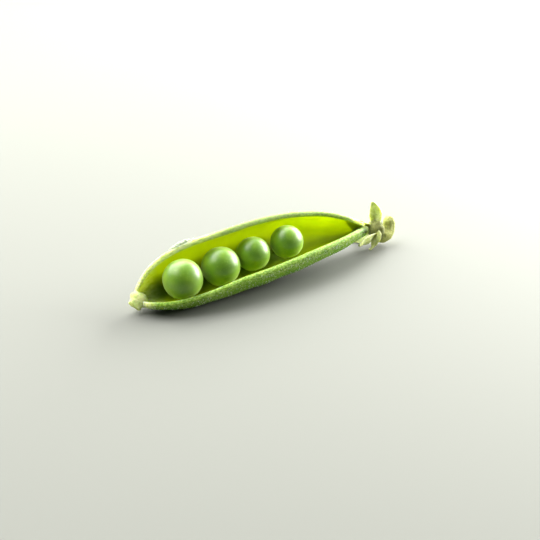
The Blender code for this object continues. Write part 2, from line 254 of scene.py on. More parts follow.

# %% [markdown]
# The pod's wall is a living leaf about a millimetre thick. Inside it is smooth, moist and
# yellow-green, and light from behind passes through it. Outside it is a cooler green with a pale
# waxy bloom that breaks up into grains. Along the rim runs a strand of paler tissue, and near the
# tip the wall has dried to pale fibres. Painted shade darkens the lining low in the trough among
# the peas, and a painted shadow lies where a sepal stands behind the far valve. Painted shade also
# darkens the far valve's outside and rim where the light from behind is strongest, and the near
# rim's end beside the calyx.
# So the colour is laid in coats: lining, skin, strand, then dry tissue. Marks on the mesh hold
# each coat to its place: inner, rim, share (how far up the valve), dry and deep, the painted shade.
# The shader scatters light below the surface over a little more than the wall's own thickness,
# most of all high on the valve, where the wall is lit from behind.

# %% Pod wall
WALL_MARKS = ("inner", "rim", "share", "dry", "deep")


def pod_material():
    made, tree, shader, place = new_material("pod_wall")
    inner, rim, share, dry, deep = marks_on(tree, WALL_MARKS)
    lining = mixed(tree, speckle(tree, place, 9, 0.35, 0.7), linear("BCCC12"), linear("C8D81A"))
    # painted shade: the lining darkens where deep is set, low in the trough and in a sepal's
    # painted shadow
    lining = mixed(tree, part_of(tree, deep, 0.9), lining, linear("345A04"))
    skin = mixed(tree, speckle(tree, place, 5, 0.3, 0.7), linear("5A8C16"), linear("78A028"))
    bloom = speckle(tree, place, 0.42, 0.48, 0.60, detail=1.0)
    skin = mixed(tree, part_of(tree, bloom, 0.5), skin, linear("9CB85C"))
    # painted shade: the skin darkens where deep is set, on the far valve's outside and at the near
    # rim's end
    skin = mixed(tree, part_of(tree, deep, 0.75), skin, linear("2C500C"))
    colour = mixed(tree, inner, skin, lining)
    streaks = speckle(tree, place, 0.34, 0.40, 0.62, stretch=(0.45, 1, 1))
    strand = mixed(tree, streaks, linear("6A8C34"), linear("A0BC66"))
    # painted shade: the strand darkens where deep is set, on the far rim and at the near rim's end
    strand = mixed(tree, deep, strand, linear("2E3E10"))
    strand = mixed(tree, part_of(tree, inner, 0.3), strand, linear("5E8210"))
    colour = mixed(tree, rim, colour, strand)
    fibres = speckle(tree, place, 0.6, 0.3, 0.6, stretch=(0.35, 1, 1))
    withered = mixed(tree, fibres, linear("B4C67C"), linear("DCE6B8"))
    colour = mixed(tree, dry, colour, withered)
    grain = speckle(tree, place, 0.35, 0.3, 0.75)
    veins = speckle(tree, place, 2.2, 0.3, 0.7, stretch=(0.4, 1, 1))
    rough = add(tree, "Mix", {0: inner, 2: 0.62, 3: 0.42}, data_type="FLOAT").outputs[0]
    finish = {
        "Base Color": colour,
        "Normal": relief(tree, mixed(tree, inner, grain, veins), 0.35, 0.12),
        "Roughness": rough,
        "Subsurface Weight": ramp(tree, share, 0.0, 0.5, 0.45, 0.95),
        "Subsurface Radius": (1.0, 0.95, 0.15),
        "Subsurface Scale": 2.8 * MM,
        "IOR": 1.40,
        "Specular IOR Level": 0.25,
    }
    fill(tree, shader, finish)
    return made


pod_finish = pod_material()
print(pod_finish.name, len(pod_finish.node_tree.nodes), "nodes")

# %% [markdown]
# The wall's form is lofted through 191 cross-sections. Each one is an outline that runs round both
# valves: up the outside of one, over its swollen rim and down its inside. The skin swells over each
# pea and is slightly uneven, and a shallow groove runs below the strand. Sections stand closer
# together near the two ends, where the pod narrows fast.

# %% Sizes and places on the wall
VALVE_STEPS, RIM_STEPS, SECTIONS = 26, 5, 190
SHARES = [step / VALVE_STEPS for step in range(VALVE_STEPS + 1)]
END_CROWDING = 0.55
SLIM_DEPTH, SLIM_POWER = 7.0, 0.35
SWELL_FROM, SWELL_REACH, RIDGE_REACH = 0.84, 0.12, 0.10
RIM_ROUNDNESS, WIDEST_SINE = 0.8, 0.95
UNEVEN_MM, FINE_UNEVEN_MM = 0.07, 0.03
GROOVE_SHARE, GROOVE_WIDTH, GROOVE_MM = 0.86, 0.03, 0.10
STRAND_FROM, STRAND_BLEND, INSIDE_BLEND, NEAR_BLEND = 0.93, 0.06, 0.05, 0.12
NEAR_STRAND_FROM, NEAR_STRAND_DROP = 0.90, 0.10
DRY_REACH, DRY_INSIDE = (0.035, 0.11), 0.9
FAR_PALE, FAR_PALE_END, FAR_PALE_BLEND = 0.75, 0.42, 0.2
FAR_END_PALE, FAR_END_FROM = 0.6, 0.875
# the far rim's least paleness is painted light; the two after it set painted shade on the far rim
# and the far valve's outside
FAR_RIM_PAINTED_LIGHT, FAR_RIM_PAINTED_SHADE, FAR_SKIN_PAINTED_SHADE_TO = 0.2, 0.75, 0.9
NEAR_END_SHADE_FROM, NEAR_END_BLEND = 0.915, 0.04
PEAS_END, PAST_PEAS_BLEND = 0.62, 0.12
# painted shade in the trough among the peas, and the painted shadow of a sepal behind the far valve
TROUGH_PAINTED_SHADE_TO, TROUGH_DROP, TROUGH_FADE = 0.45, 0.25, 0.65
SHADE_FROM, SHADE_SLANT, SHADE_BLEND, SHADE_DEEP = 0.945, 0.075, 0.014, 0.6


def half_walls(place, share):
    slim = min(1.0, (depth_at(place) / SLIM_DEPTH) ** SLIM_POWER)
    rim = (RIM - WALL) / 2 * smooth_step((share - SWELL_FROM) / SWELL_REACH)
    ridge = KEEL_RIDGE * smooth_step(1 - share / RIDGE_REACH)
    half = (WALL / 2 + rim) * slim
    return half, half + ridge * slim


def bell(x):
    return math.exp(-(x**2))


def relief_mm(place, side, share):
    """Slow unevenness of the skin, and the shallow groove below the rim's strand."""
    at = Vector((along(place) / 3.0, side * 5.0, share * 4.0))
    uneven = UNEVEN_MM * noise.noise(at) + FINE_UNEVEN_MM * noise.noise(at * 3)
    groove = GROOVE_MM * bell((share - GROOVE_SHARE) / GROOVE_WIDTH)
    return uneven * math.sin(math.pi * min(share, 0.9) / 0.9) - groove


def seed_bump(place, share):
    x = along(place)
    nearness = sum(bell((x - along(pea)) / SEED_BUMP_REACH) for pea, _, _ in PEAS)
    return SEED_BUMP * nearness * math.sin(math.pi * share) ** 2


def valve_sides(place, side):
    """Inner and outer points of a valve, from closed seam to rim. side is 1 near, -1 far."""
    opening = math.radians(through(NEAR_OPEN_DEG if side > 0 else FAR_OPEN_DEG, place))
    bulge = math.radians(through(NEAR_BULGE_DEG if side > 0 else FAR_BULGE_DEG, place))
    depth = depth_at(place)
    opening = max(opening, math.asin(min(WIDEST_SINE, (RIM / 2 + RIM_SLIT) / depth)))
    radius = depth / (2 * math.sin(bulge))
    across0, height0 = keel_at(place)
    start = opening + bulge
    inner, outer = [], []
    for share in SHARES:
        lean = start - 2 * bulge * share
        out = Vector((math.cos(lean), -math.sin(lean))) if share else Vector((0.0, -1.0))
        across = radius * (math.cos(lean) - math.cos(start))
        point = Vector((across, radius * (math.sin(start) - math.sin(lean))))
        swell = seed_bump(place, share)
        half_in, half_out = half_walls(place, share)
        for points, offset in (
            (inner, swell - half_in),
            (outer, swell + half_out + relief_mm(place, side, share)),
        ):
            moved = point + out * offset
            points.append((across0 + side * moved.x, height0 + moved.y))
    return inner, outer


def rim_cap(inner_end, outer_end):
    """The rounded edge of a rim, from the outside over to the inside."""
    a, b = Vector(outer_end), Vector(inner_end)
    middle, spoke = (a + b) / 2, (a - b) / 2
    ahead = Vector((-spoke.y, spoke.x))
    if ahead.y < 0:
        ahead.negate()
    turns = [math.pi * (k + 1) / (RIM_STEPS + 1) for k in range(RIM_STEPS)]
    return [
        tuple(middle + spoke * math.cos(t) + ahead * math.sin(t) * RIM_ROUNDNESS) for t in turns
    ]


near_rim, far_rim = (valve_sides(0.5, side)[1][-1] for side in (1, -1))
print("opening in the middle:", round((Vector(near_rim) - Vector(far_rim)).length, 1), "mm wide")

# %% [markdown]
# The marks say what grows where. Dry tissue reaches a few millimetres in from the tip, farther on
# the inside than outside. The far rim is paler towards the tip and towards the stalk. Painted light
# lifts it a little all along, and painted shade darkens it to olive in between, where the light
# from behind is strongest. Painted shade also darkens the far valve's outside below the rim, and
# the near rim's end beside the calyx.

# %% Marks and cross-sections
def strand_mark(share, start=STRAND_FROM, blend=STRAND_BLEND):
    return smooth_step((share - start) / blend)


def painted_shade_marks(place, side):
    """Painted shade on the lining: low in the trough among the peas, and the painted shadow of a
    sepal behind the far valve.
    """
    # painted shade low in the trough, weaker past the peas
    past_peas = smooth_step((place - PEAS_END) / PAST_PEAS_BLEND)
    among_peas = 1 - TROUGH_FADE * past_peas
    top = TROUGH_PAINTED_SHADE_TO - TROUGH_DROP * past_peas
    marks = [smooth_step((top - share) / (0.85 * top)) * among_peas for share in SHARES]
    if side > 0:
        return marks
    # the painted shadow of the far_side sepal, seen through the far valve
    shade = [
        SHADE_DEEP * smooth_step((place - (SHADE_FROM - SHADE_SLANT * share)) / SHADE_BLEND)
        for share in SHARES
    ]
    return [max(pair) for pair in zip(marks, shade)]


def far_paleness(place, dry):
    """How far the far rim's tissue has faded towards both ends, with painted light that lifts it a
    little all along.
    """
    to_tip = FAR_PALE * smooth_step((FAR_PALE_END - place) / FAR_PALE_BLEND)
    to_stalk = FAR_END_PALE * smooth_step((place - FAR_END_FROM) / 0.05)
    return max(dry, to_tip, to_stalk, FAR_RIM_PAINTED_LIGHT)


def outside_marks(place, dry, pale, far_painted_shade, near_end_painted_shade):
    """The marks up the outside of the near valve, and of the far one."""
    near_start = NEAR_STRAND_FROM - NEAR_STRAND_DROP * smooth_step((place - 0.35) / 0.25)
    near, far = [], []
    for share in SHARES:
        near.append((0.0, strand_mark(share, near_start, NEAR_BLEND), share, dry, near_end_painted_shade))
        # painted shade on the far valve's outside below the rim, and on the far rim
        deep = max(far_painted_shade, 1 - strand_mark(share, FAR_SKIN_PAINTED_SHADE_TO))
        far.append((0.0, strand_mark(share), share, max(dry, pale * share**12), deep))
    return near, far


def inside_marks(place, side, dry_inside):
    return [
        (1.0, strand_mark(share, blend=INSIDE_BLEND), share, dry_inside * DRY_INSIDE, deep)
        for share, deep in zip(SHARES, painted_shade_marks(place, side))
    ]


def pod_section(place):
    """The wall's outline at a place, with the WALL_MARKS of each point."""
    dry, dry_inside = (smooth_step(1 - (place - FIRST_PLACE) / reach) for reach in DRY_REACH)
    pale = far_paleness(place, dry)
    # painted shade on the far rim where the light from behind is strongest, less where it is pale
    far_painted_shade = FAR_RIM_PAINTED_SHADE * (1 - pale)
    # painted shade on the near rim's end, beside the calyx
    near_end_painted_shade = smooth_step((place - NEAR_END_SHADE_FROM) / NEAR_END_BLEND)
    near_outside, far_outside = outside_marks(place, dry, pale, far_painted_shade, near_end_painted_shade)
    (near_in, near_out), (far_in, far_out) = valve_sides(place, 1), valve_sides(place, -1)
    rows = list(zip(near_out, near_outside))[::-1] + list(zip(far_out, far_outside))[1:]
    rows += [
        (point, (0.5, 1.0, 1.0, pale, far_painted_shade * (1 - k / RIM_STEPS)))
        for k, point in enumerate(rim_cap(far_in[-1], far_out[-1]))
    ]
    rows += list(zip(far_in, inside_marks(place, -1, dry_inside)))[::-1]
    rows += list(zip(near_in, inside_marks(place, 1, dry_inside)))[1:]
    near_cap = rim_cap(near_in[-1], near_out[-1])
    rows += [(point, (0.5, 1.0, 1.0, dry, near_end_painted_shade)) for point in near_cap[::-1]]
    return [in_world(along(place), *point) for point, _ in rows], [marks for _, marks in rows]


def make_pod_wall():
    sections, values = [], []
    for step in range(SECTIONS + 1):
        even = step / SECTIONS
        crowded = even - math.sin(2 * math.pi * even) / (2 * math.pi) * END_CROWDING
        points, marks = pod_section(FIRST_PLACE + (LAST_PLACE - FIRST_PLACE) * crowded)
        sections.append(points)
        values.append(marks)
    bm = loft(sections, WALL_MARKS, values)
    piece(bm, "pod_wall", pod_finish, replaces=["pod_shell"])


make_pod_wall()

# %% [markdown]
# What has withered is rougher and duller than living skin, with fine fibres in it. One finish with
# three colours serves all such parts. Their forms are rings of points along a line. A few rows of
# sizes are enough, because a smooth curve fills in the rest, and slow noise wrinkles the form.

# %% Rings and dried tissue
def ring(middle, axis, width_way, half_width, half_depth, sides=14, lobes=0.0, ribs=(0, 0.0)):
    """Points of an oval round an axis, with its long side pinched by lobes and ribbed by ribs."""
    axis = axis.normalized()
    wide = (width_way - axis * width_way.dot(axis)).normalized()
    deep = axis.cross(wide)
    points = []
    for i in range(sides):
        turn = 2 * math.pi * i / sides
        pinch = 1 - lobes * math.sin(turn) ** 4
        swell = 1 + ribs[1] * math.cos(ribs[0] * turn)
        offset = wide * half_width * math.cos(turn) + deep * half_depth * math.sin(turn) * pinch
        points.append((middle + offset * swell) * MM)
    return points


def eased(a, b, c, d, t):
    """The value at share t of the way from b to c, on a smooth curve through all four."""
    bend = 2 * a - 5 * b + 4 * c - d + t * (3 * (b - c) + d - a)
    return b + t / 2 * (c - a + t * bend)


def eased_rows(rows, steps):
    """More rows between the given ones, on a smooth curve through them."""
    smooth = []
    for i in range(len(rows) - 1):
        four = rows[max(i - 1, 0)], rows[i], rows[i + 1], rows[min(i + 2, len(rows) - 1)]
        for step in range(steps):
            smooth.append(tuple(eased(*values, step / steps) for values in zip(*four)))
    return smooth + [tuple(rows[-1])]


def roughen(bm, size_mm, height_mm):
    """Pushes each point along its normal by slow noise, as drying does."""
    bm.normal_update()
    for vert in bm.verts:
        vert.co += vert.normal * noise.noise(vert.co / (size_mm * MM)) * height_mm * MM


def dry_material(name, pale, mid, dark, fibre_mm=0.5, scatter_mm=0.6):
    made, tree, shader, place = new_material(name)
    blotch = speckle(tree, place, 2.4, 0.35, 0.65)
    fibres = speckle(tree, place, fibre_mm, 0.4, 0.7, detail=4.0)
    colour = mixed(tree, blotch, linear(mid), linear(pale))
    colour = mixed(tree, part_of(tree, fibres, 0.5), colour, linear(dark))
    finish = {
        "Base Color": colour,
        "Normal": relief(tree, fibres, 0.5, 0.2),
        "Roughness": 0.7,
        "Subsurface Weight": 0.4,
        "Subsurface Radius": (1.0, 0.8, 0.4),
        "Subsurface Scale": scatter_mm * MM,
    }
    fill(tree, shader, finish)
    return made


# %% [markdown]
# The beak is what is left of the flower's style. It has withered to a blunt cream stub that ends
# in two lobes, and the neck is the pod's narrow end where it passes into the calyx. Under each pea
# a short stalk, which fed it, stands on the closed seam. A row of BEAK_RINGS holds a distance along
# the beak's axis and half the width and depth there.

# %% Beak, neck and seed stalks
BEAK_HEIGHT, BEAK_ACROSS = 2.9, 0.4
BEAK_AXIS = (-1.9, -0.7, -1.3)
BEAK_RINGS = (
    (-1.5, 1.5, 1.3),
    (-0.6, 2.4, 1.75),
    (0.3, 2.5, 1.75),
    (1.0, 2.05, 1.45),
    (1.7, 1.75, 1.35),
    (2.2, 1.8, 1.3),
    (2.5, 1.35, 0.9),
)
BEAK_LOBES, LOBE_REACH = 0.42, 1.4
NECK_SIZE, NECK_X, NECK_HEIGHT = (6.0, 2.8, 3.2), 34.4, 2.1
SEED_STALK_ROWS = ((0.0, 0.85), (0.35, 0.58), (0.7, 0.48), (0.93, 0.68), (1.0, 0.5))
STALK_CLEARANCE = 0.3


def make_beak():
    tip = in_world(along(FIRST_PLACE), BEAK_ACROSS, BEAK_HEIGHT) / MM
    axis = Vector(BEAK_AXIS).normalized()
    across = (in_world(0.0, 1.0, 0.0) - in_world(0.0, 0.0, 0.0)) / MM
    last = BEAK_RINGS[-1][0]
    rings = []
    for distance, *half_sizes in eased_rows(BEAK_RINGS, 4):
        lobes = BEAK_LOBES * smooth_step((distance - last + LOBE_REACH) / LOBE_REACH)
        middle = tip + axis * distance
        rings.append(ring(middle, axis, across, *half_sizes, sides=36, lobes=lobes))
    bm = loft(rings)
    roughen(bm, 0.8, 0.10)
    piece(bm, "beak", beak_finish, replaces=["pod_shell"])


def make_neck():
    bm = bmesh.new()
    bmesh.ops.create_uvsphere(bm, u_segments=40, v_segments=24, radius=0.5 * MM)
    bmesh.ops.rotate(bm, verts=bm.verts, matrix=Matrix.Rotation(math.pi / 2, 3, "Y"))
    bmesh.ops.scale(bm, verts=bm.verts, vec=NECK_SIZE)
    bmesh.ops.transform(bm, verts=bm.verts, matrix=pod_turn())
    bmesh.ops.translate(bm, verts=bm.verts, vec=in_world(NECK_X, 0.0, NECK_HEIGHT))
    piece(bm, "neck", neck_finish, replaces=["pod_shell"])


def make_seed_stalk(number, place, diameter, across):
    """The short stalk from the closed seam that a pea grew on, flared where the pea sat."""
    keel_across, keel_height = keel_at(place)
    length = PEA_HEIGHT - diameter / 2 - STALK_CLEARANCE
    base, top = (
        in_world(along(place), keel_across + across, keel_height + up) / MM for up in (0, length)
    )
    rows = eased_rows(SEED_STALK_ROWS, 4)
    rings = [
        ring(base.lerp(top, t), top - base, X_WAY, radius, radius, sides=24)
        for t, radius in rows
    ]
    bm = loft(rings)
    name = f"seed_stalk_{number}"
    piece(bm, name, seed_stalk_finish, replaces=["pod_shell"])


beak_finish = dry_material("withered_beak", "EEF8A8", "DCEE8C", "BACE6C", scatter_mm=2.0)
neck_finish = dry_material("neck_skin", "A9BE6E", "8BA24C", "6A7A33")
seed_stalk_finish = dry_material("seed_stalk_skin", "C4D67A", "A6BF4C", "8AA638")
make_beak()
make_neck()
for number, row in enumerate(PEAS, 1):
    make_seed_stalk(number, *row)

# %% [markdown]
# A ripe green pea is nearly a ball, pressed a little flat where its neighbours touched it, with a
# faint dimple where it sat on its stalk. Its skin is thin and waxy over flesh that scatters light,
# so its highlight is broad and soft and its shadow side stays a deep green instead of black.

# %% Peas
PEA_SEGMENTS, PEA_RINGS = 72, 44
PEA_FLAT, PEA_SQUARE, PEA_DIMPLE, PEA_UNEVEN = 0.035, 0.018, 0.03, 0.006


def pea_material():
    made, tree, shader, place = new_material("pea_skin")
    blotch = speckle(tree, place, 4, 0.3, 0.7)
    colour = mixed(tree, blotch, linear("568600"), linear("6E9A00"))
    fleck = speckle(tree, place, 0.5, 0.55, 0.75, detail=3.0)
    waves = speckle(tree, place, 1.4, 0.2, 0.8, detail=3.0)
    finish = {
        "Base Color": mixed(tree, part_of(tree, fleck, 0.15), colour, linear("B8D45A")),
        "Normal": relief(tree, waves, 0.12, 0.2),
        "Roughness": 0.42,
        "IOR": 1.40,
        "Specular IOR Level": 0.3,
        "Coat Weight": 1.0,
        "Coat Roughness": 0.38,
        "Coat IOR": 1.5,
        "Sheen Weight": 0.8,
        "Sheen Roughness": 0.5,
        "Sheen Tint": linear("DDF890"),
        "Subsurface Weight": 0.4,
        "Subsurface Radius": (1.0, 1.0, 0.2),
        "Subsurface Scale": 1.5 * MM,
    }
    fill(tree, shader, finish)
    return made


def pea_shape(point, radius):
    """Moves a point of a ball: flatter along the pod, squarer across it, dimpled below."""
    direction = point.normalized()
    flat = 1 - PEA_FLAT * abs(direction.x) ** 4
    square = 1 + PEA_SQUARE * (1 - 2 * (direction.y**4 + direction.z**4))
    dimple = 1 - PEA_DIMPLE * smooth_step((-direction.z - 0.93) / 0.07)
    uneven = 1 + PEA_UNEVEN * noise.noise(direction * 2.5 + Vector((radius * 9000, 0, 0)))
    return direction * radius * flat * square * dimple * uneven


def make_pea(number, place, diameter, across):
    keel_across, keel_height = keel_at(place)
    radius = diameter / 2 * MM
    bm = bmesh.new()
    bmesh.ops.create_uvsphere(bm, u_segments=PEA_SEGMENTS, v_segments=PEA_RINGS, radius=radius)
    for vert in bm.verts:
        vert.co = pea_shape(vert.co, radius)
    bmesh.ops.transform(bm, verts=bm.verts, matrix=pod_turn())
    middle = in_world(along(place), keel_across + across, keel_height + PEA_HEIGHT)
    bmesh.ops.translate(bm, verts=bm.verts, vec=middle)
    piece(bm, f"ripe_pea_{number}", pea_finish, replaces=[f"pea_{number}"])


pea_finish = pea_material()
for number, row in enumerate(PEAS, 1):
    make_pea(number, *row)

# %% [markdown]
# The calyx is the flower's green cup, now withered round the end of the stalk. It has five sepals,
# small leaves that differ in how they bend, so each has a row in a table.
# A row of SEPALS holds the turns round the stalk where the blade leaves the cup and where it ends,
# three points of its curve (towards the tip, and away from the stalk), its width, its fold along
# the midrib, its twist, and whether it lies on a valve. Turns, fold and twist are in degrees. A row
# of PEDICEL, the stalk, holds a point from the cup's middle, and the radius there.

# %% Sizes of the calyx and stalk
CUP_X, CUP_ACROSS, CUP_HEIGHT, CUP_SIZE = 39.7, 0.9, 1.9, (2.0, 3.1)
SEPAL_THICK, SEPAL_EDGE_THINNER, SEPAL_GAP = 0.62, 0.6, 0.35
SEPAL_RAGGED, SEPAL_WAVE, SEPAL_RIB, RIB_WIDTH = 0.07, 0.15, 0.10, 0.16
SECTION_NEAR, BLADE_MARGIN = 1.0, 0.4
CUP_ROWS, CUP_RIBS, STALK_RIBS = 16, (10, 0.035), (7, 0.03)
SEPALS = {
    "upright": ((350, 350), ((0.2, 1.2), (-0.7, 5.0), (1.0, 8.6)), 3.6, 16, 50, False),
    "front": ((90, 158), ((0.6, 1.4), (3.4, 4.2), (3.4, 5.2)), 3.2, 14, -120, False),
    "near_side": ((120, 98), ((0.6, 1.4), (4.0, 3.0), (9.6, 3.8)), 3.2, 6, 0, True),
    "far_side": ((300, 330), ((0.6, 1.4), (4.0, 3.0), (9.4, 4.0)), 2.7, 6, 0, True),
    "back": ((226, 218), ((0.3, 1.4), (2.6, 3.6), (5.0, 7.0)), 2.6, 16, 0, False),
}
PEDICEL = (
    (0.3, -0.3, -0.6, 1.7),
    (1.4, -0.8, -1.5, 2.2),
    (2.6, -1.0, -1.4, 2.1),
    (3.55, -0.9, -0.6, 1.85),
    (4.1, -0.6, 0.6, 1.7),
    (4.2, -0.4, 1.8, 1.65),
    (4.0, -0.3, 2.8, 1.4),
    (3.75, -0.2, 3.45, 0.75),
)
SEPAL_LENGTHS, SEPAL_WIDTHS = 40, 12
cup_middle = in_world(CUP_X, CUP_ACROSS, CUP_HEIGHT)
stalk_end_sections = [
    [point / MM - cup_middle / MM for point in pod_section(0.62 + 0.01 * k)[0]] for k in range(36)
]
print("cup's middle, in metres:", tuple(cup_middle))

# %% [markdown]
# A sepal grows out of the cup and bends along a short curve. One that lies on a valve is pushed
# out until it is just clear of the pod, which is measured on the pod's own cross-sections.

# %% Where each sepal lies
def valve_reach(x, out, sideways, half_width):
    """How far the pod stands out that way from the cup's axis, over a blade's width, near x."""
    reach = 0.0
    for points in stalk_end_sections:
        if abs(points[0].x - x) < SECTION_NEAR:
            within = half_width + BLADE_MARGIN
            near = [point.dot(out) for point in points if abs(point.dot(sideways)) < within]
            reach = max([reach, *near])
    return reach


def sepal_point(row, s):
    """A point of the blade's middle line from the cup's middle, and the way across it there."""
    (leaves_deg, ends_deg), path, width, _, _, on_valve = row
    turn = math.radians(leaves_deg + (ends_deg - leaves_deg) * smooth_step(s))
    out = Vector((0.0, -math.sin(turn), math.cos(turn)))
    sideways = Vector((0.0, -math.cos(turn), -math.sin(turn)))
    forward, away = (
        path[0][i] * (1 - s) ** 2 + path[1][i] * 2 * s * (1 - s) + path[2][i] * s**2 for i in (0, 1)
    )
    if on_valve:
        least = valve_reach(-forward, out, sideways, width / 2) + SEPAL_GAP + SEPAL_THICK / 2
        away = max(away, least)
    return out * away - Vector((forward, 0.0, 0.0)), sideways


def sepal_frame(row, s):
    point, sideways = sepal_point(row, s)
    tangent = sepal_point(row, min(s + 0.05, 1.0))[0] - sepal_point(row, max(s - 0.05, 0.0))[0]
    tangent.normalize()
    twist = math.radians(row[4]) * min(1.0, 2 * s)
    sideways = Matrix.Rotation(twist, 3, tangent) @ sideways
    return point, sideways, sideways.cross(tangent).normalized()


for name, row in SEPALS.items():
    print(name, "sepal ends", round(sepal_point(row, 1.0)[0].length, 1), "mm from the cup's middle")

# %% [markdown]
# A sepal's skin is pale yellow-green, browner where it leaves the cup and paler at its edge, with a
# few withered spots. A midrib and slanting side veins stand out a little from the blade. Two marks
# on the mesh, length and side, tell the finish where on the blade it is.

# %% Sepal skin
def sepal_material():
    """Side veins slant forward from the midrib: a zigzag of the length, shifted by the side."""
    made, tree, shader, place = new_material("sepal_skin")
    length, side = marks_on(tree, ("length", "side"))
    edge = calc(tree, "ABSOLUTE", side)
    slant = calc(tree, "MULTIPLY_ADD", edge, -1.6, 0.0)
    wave = calc(tree, "PINGPONG", calc(tree, "MULTIPLY_ADD", length, 9.0, slant), 1.0)
    side_vein, midrib = ramp(tree, wave, 0.16, 0.0), ramp(tree, edge, 0.14, 0.02)
    vein = calc(tree, "MAXIMUM", side_vein, midrib)
    base = mixed(tree, speckle(tree, place, 1.6, 0.35, 0.65), linear("B8C46C"), linear("D4DE9A"))
    root = part_of(tree, ramp(tree, length, 0.42, 0.12), 0.6)
    base = mixed(tree, root, base, linear("8C9038"))
    margin = part_of(tree, ramp(tree, edge, 0.72, 1.0), 0.6)
    base = mixed(tree, margin, base, linear("E0E8AE"))
    colour = mixed(tree, part_of(tree, vein, 0.45), base, linear("DADFAE"))
    spots = speckle(tree, place, 0.5, 0.62, 0.72)
    grain = speckle(tree, place, 0.25, 0.3, 0.7)
    finish = {
        "Base Color": mixed(tree, part_of(tree, spots, 0.5), colour, linear("6B6434")),
        "Normal": relief(tree, calc(tree, "MULTIPLY_ADD", grain, 0.3, vein), 0.5, 0.12),
        "Roughness": 0.6,
        "Subsurface Weight": 0.6,
        "Subsurface Radius": (1.0, 0.95, 0.45),
        "Subsurface Scale": 0.9 * MM,
    }
    fill(tree, shader, finish)
    return made


sepal_finish = sepal_material()
print(sepal_finish.name, len(sepal_finish.node_tree.nodes), "nodes")

# %% [markdown]
# Each blade is a flat grid that is bent, folded along its midrib and waved at its edge, and then
# thickened, more in the middle than at the edge. The cup and the stub of stalk are rings, and the
# stalk is ribbed by its bundles of fibres.

# %% Sepals, cup and stalk
def blade_point(row, s, side, point, across, face):
    """A point beside one of the blade's middle line: folded, waved, and ribbed underneath."""
    width, fold = row[2], math.radians(row[3])
    ragged = 1 + SEPAL_RAGGED * noise.noise(Vector((s * 9, side * 2, width * 5))) * abs(side)
    outline = math.sin(math.pi * (0.20 + 0.73 * s)) * width / 2 * ragged
    rise = abs(side) * outline * math.tan(fold) * (1 - s**3)
    wave = SEPAL_WAVE * math.sin(7 * s + 2 * side) * abs(side) * math.sin(math.pi * s)
    rib = -SEPAL_RIB * bell(side / RIB_WIDTH) * (1 - s)
    return point + across * side * outline + face * (rise + wave + rib)


def make_sepal(name, row):
    """One blade: broad below its middle, pointed, folded along its midrib, with an uneven edge."""
    bm = bmesh.new()
    length_mark = bm.verts.layers.float.new("length")
    side_mark = bm.verts.layers.float.new("side")
    bmesh.ops.create_grid(bm, x_segments=SEPAL_LENGTHS, y_segments=SEPAL_WIDTHS, size=0.5)
    frames = {}
    thickness = []
    for vert in bm.verts:
        s = round(vert.co.x + 0.5, 4)
        side = vert.co.y * 2
        if s not in frames:
            frames[s] = sepal_frame(row, s)
        vert.co = cup_middle + blade_point(row, s, side, *frames[s]) * MM
        vert.co.z = max(vert.co.z, SEPAL_THICK / 2 * MM)
        vert[length_mark], vert[side_mark] = s, side
        thickness.append(1.0 - SEPAL_EDGE_THINNER * side**2)
    blade = piece(bm, "sepal_" + name, sepal_finish, replaces=["stalk_calyx"])
    group = blade.vertex_groups.new(name="thickness")
    for index, share in enumerate(thickness):
        group.add([index], share, "REPLACE")
    thicken = blade.modifiers.new("thickness", "SOLIDIFY")
    thicken.thickness = SEPAL_THICK * MM
    thicken.offset = 0.0
    thicken.vertex_group = "thickness"


def make_cup():
    half_length, radius = CUP_SIZE
    rings = []
    for k in range(1, CUP_ROWS):
        turn = math.pi * k / CUP_ROWS
        middle = cup_middle / MM - Vector((half_length * math.cos(turn), 0, 0))
        r = radius * math.sin(turn)
        rings.append(ring(middle, X_WAY, Y_WAY, r, r, sides=60, ribs=CUP_RIBS))
    bm = loft(rings)
    roughen(bm, 1.2, 0.10)
    piece(bm, "calyx_cup", cup_finish, replaces=["stalk_calyx"])


def make_stalk():
    rows = eased_rows(PEDICEL, 6)
    points = [cup_middle / MM + Vector(row[:3]) for row in rows]
    rings = []
    for i, (*_, radius) in enumerate(rows):
        way = points[min(i + 1, len(points) - 1)] - points[max(i - 1, 0)]
        rings.append(ring(points[i], way, Y_WAY, radius, radius, sides=48, ribs=STALK_RIBS))
    bm = loft(rings)
    roughen(bm, 0.9, 0.09)
    piece(bm, "stalk_stub", stalk_finish, replaces=["stalk_calyx"])


stalk_finish = dry_material("stalk_skin", "CACE78", "B0B65C", "848C3A", fibre_mm=0.35)
cup_finish = dry_material("cup_skin", "949852", "767C36", "545C20", fibre_mm=0.35)
for name, row in SEPALS.items():
    make_sepal(name, row)
make_cup()
make_stalk()

# %% [markdown]
# Fine dew sits on the waxy outside of the pod as separate beads, since the wax keeps water from
# spreading. The beads are a few tenths of a millimetre across, half sunk in the bloom, denser near
# the rims, and they catch the light as white sparks. On the far valve's rim, near the tip, larger
# drops hang together in a low white heap. A single clear bead would need many light bounces
# between its neighbours, so the heap is a cloudy white that lets some light through and adds a
# faint light of its own in place of those bounces. All are scattered by a fixed seed.

# %% Dew
DEW_BEADS, DEW_RADIUS = 1500, (0.05, 0.17)
DEW_PLACES, DEW_SPREAD, DEW_LOWEST = (0.03, 0.95), 0.32, 0.15
HEAP_BEADS, HEAP_PLACES, HEAP_RADIUS = 220, (0.150, 0.240), (0.24, 0.44)
HEAP_DEPTH, HEAP_LIFT, HEAP_WAY = 0.16, 0.5, Vector((0.0, 0.5, 0.9))
DEW_SEED = 7


